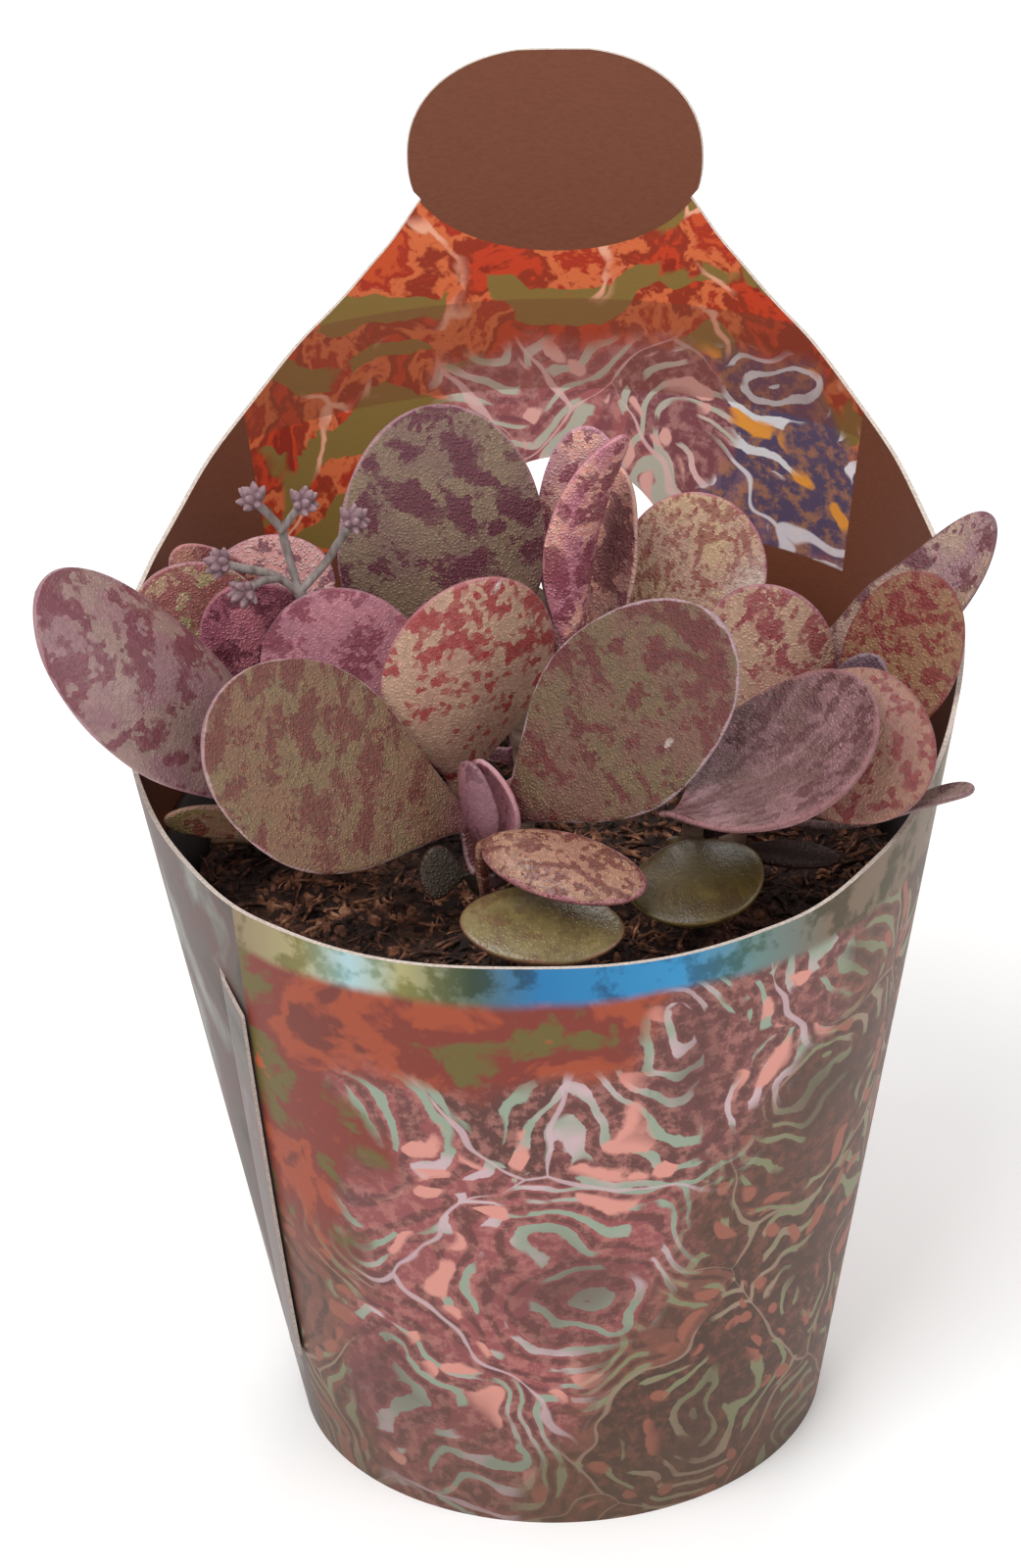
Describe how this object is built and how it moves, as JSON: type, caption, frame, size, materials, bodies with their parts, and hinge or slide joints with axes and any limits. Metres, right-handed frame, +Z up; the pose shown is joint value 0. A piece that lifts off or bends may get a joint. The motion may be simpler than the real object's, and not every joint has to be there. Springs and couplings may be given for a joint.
{
  "type": "potted plant",
  "caption": "Small succulent with thick blotched egg-shaped leaves in a nursery pot, inside a tapering printed card cover with a tall curved display back, an oval plate and a round hole.",
  "frame": {"origin": "centre of the nursery pot's flat base, on the surface the pot stands on", "axes": "+Z up, the low front rim of the cover at -Y, the tall back panel at +Y, +X to the right seen from the front"},
  "size_m": [0.1317, 0.129, 0.1883],
  "materials": {
    "card": "satin printed card, bare brown board on the inside and the plate",
    "pot_plastic": "matt thin moulded polypropylene",
    "soil": "loose dark peat",
    "stem": "dull woody bark",
    "flower_stalk": "dull",
    "leaf_mauve": "satin leaf skin with fine papillae",
    "leaf_beige": "satin leaf skin with fine papillae",
    "leaf_olive": "satin leaf skin with fine papillae",
    "leaf_dark": "satin leaf skin with fine papillae",
    "leaf_dry": "dry and matt"
  },
  "bodies": {
    "root": {"card_cover": "card", "nursery_pot": "pot_plastic", "stem_front": "stem", "stem_left": "stem", "stem_middle": "stem", "stem_right": "stem", "stem_low_right": "stem", "soil": "soil", "leaf_left_cupped": "leaf_mauve", "leaf_front_left": "leaf_olive", "leaf_front_right": "leaf_olive", "leaf_middle_spotted": "leaf_beige", "leaf_pink_left": "leaf_mauve", "leaf_dark_left": "leaf_dark", "leaf_olive_left": "leaf_olive", "leaf_slim_left": "leaf_beige", "leaf_pale_left": "leaf_beige", "leaf_tall": "leaf_dark", "leaf_folded_middle": "leaf_mauve", "leaf_behind_folded": "leaf_beige", "leaf_narrow_middle": "leaf_dark", "leaf_back_right": "leaf_beige", "leaf_right_spotted": "leaf_beige", "leaf_low_purple": "leaf_dark", "leaf_curl_right": "leaf_mauve", "leaf_low_spotted": "leaf_beige", "leaf_right_round": "leaf_beige", "leaf_far_right": "leaf_mauve", "leaf_rim_right": "leaf_mauve", "young_leaf_left": "leaf_mauve", "young_leaf_right": "leaf_mauve", "leaf_thick_pink": "leaf_beige", "leaf_low_front": "leaf_olive", "leaf_low_right": "leaf_olive", "leaf_shaded_right": "leaf_olive", "leaf_rim_left": "leaf_beige", "leaf_small_blue": "leaf_olive", "leaf_back_left": "leaf_olive", "leaf_back_middle": "leaf_olive", "fallen_leaf": "leaf_dry", "flower_stalk": "flower_stalk"}
  },
  "joints": []
}
